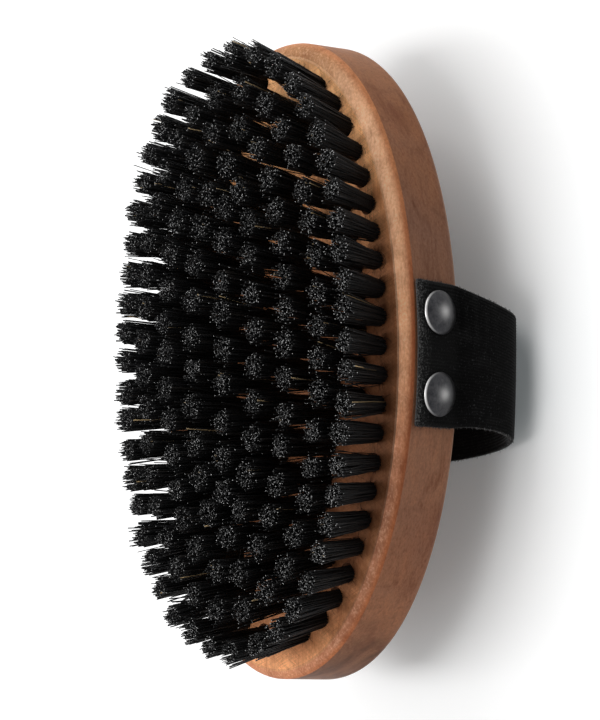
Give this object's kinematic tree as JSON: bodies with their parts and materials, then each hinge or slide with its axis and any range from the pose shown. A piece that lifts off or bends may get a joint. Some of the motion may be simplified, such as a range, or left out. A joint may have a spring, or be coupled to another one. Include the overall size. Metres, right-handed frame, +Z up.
{
  "type": "body brush",
  "caption": "Oval wooden body brush with concentric rings of dark bristle tufts on one face and a black webbing hand strap nailed to its long sides.",
  "frame": {"origin": "on the table under the middle of the brush, at the flat underside of the hand strap", "axes": "+X along the long axis of the oval stock, +Z up, the way the bristles point, -Y towards the side of the strap that the picture shows"},
  "size_m": [0.13, 0.079, 0.0524],
  "materials": {
    "wood": "oiled, fine grained, satin",
    "webbing": "matte woven cotton",
    "nail_steel": "dark gunmetal, satin",
    "bristle": "black natural bristle, slightly glossy along its length, pale cut tips"
  },
  "bodies": {
    "root": {"stock": "wood", "hand_strap": "webbing", "nail_front_left": "nail_steel", "nail_front_right": "nail_steel", "nail_rear_left": "nail_steel", "nail_rear_right": "nail_steel", "bristles_outer_ring": "bristle", "bristles_second_ring": "bristle", "bristles_third_ring": "bristle", "bristles_centre": "bristle"}
  },
  "joints": []
}
